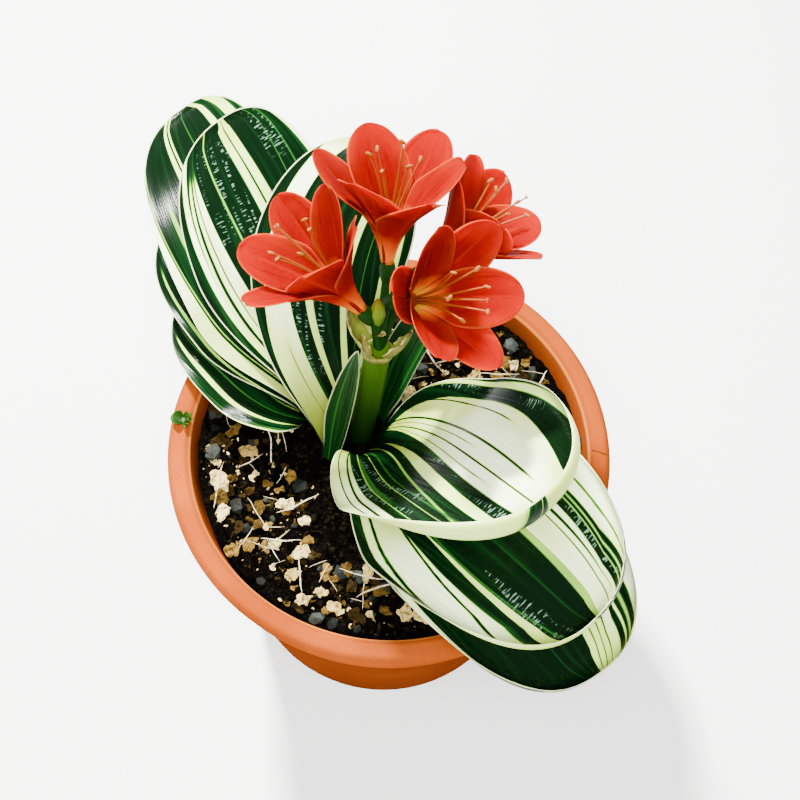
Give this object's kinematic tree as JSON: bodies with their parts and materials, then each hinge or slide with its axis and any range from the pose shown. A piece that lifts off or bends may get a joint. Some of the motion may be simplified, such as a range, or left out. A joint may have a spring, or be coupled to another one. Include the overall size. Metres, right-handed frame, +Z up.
{
  "type": "potted flowering clivia",
  "caption": "Potted clivia: broad, arching, white-striped strap leaves in two ranks and a stalk of orange-red trumpet flowers, in a round terracotta pot with a thick rim.",
  "frame": {"origin": "centre of the flat underside of the pot", "axes": "+Z up along the pot's axis; +X to the right and +Y to the rear as the plant is seen from the front"},
  "size_m": [0.2675, 0.3082, 0.3759],
  "materials": {
    "terracotta": "fired clay, matt, paler on the rim",
    "soil": "dark, coarse potting soil with bark chips and pebbles",
    "leaf": "glossy dark green with long white, cream and yellow-green stripes",
    "young_leaf": "glossy mid green with a thin pale margin",
    "stalk": "smooth fresh green",
    "spathe": "papery, dry cream to yellow-green",
    "seedling": "fresh green",
    "tepal": "satin orange-red with a yellow throat",
    "stamen": "satin pale orange with yellow anthers"
  },
  "bodies": {
    "root": {"pot": "terracotta", "soil": "soil", "leaf_rear_1": "leaf", "leaf_rear_2": "leaf", "leaf_rear_3": "leaf", "leaf_rear_4": "leaf", "leaf_rear_5": "leaf", "leaf_front_1": "leaf", "leaf_front_2": "leaf", "leaf_front_3": "leaf", "leaf_young_left": "young_leaf", "leaf_young_right": "young_leaf", "scape": "stalk", "spathe": "spathe", "seedling": "seedling", "flower_1": "tepal", "stamens_1": "stamen", "flower_2": "tepal", "stamens_2": "stamen", "flower_3": "tepal", "stamens_3": "stamen", "flower_4": "tepal", "stamens_4": "stamen"}
  },
  "joints": []
}
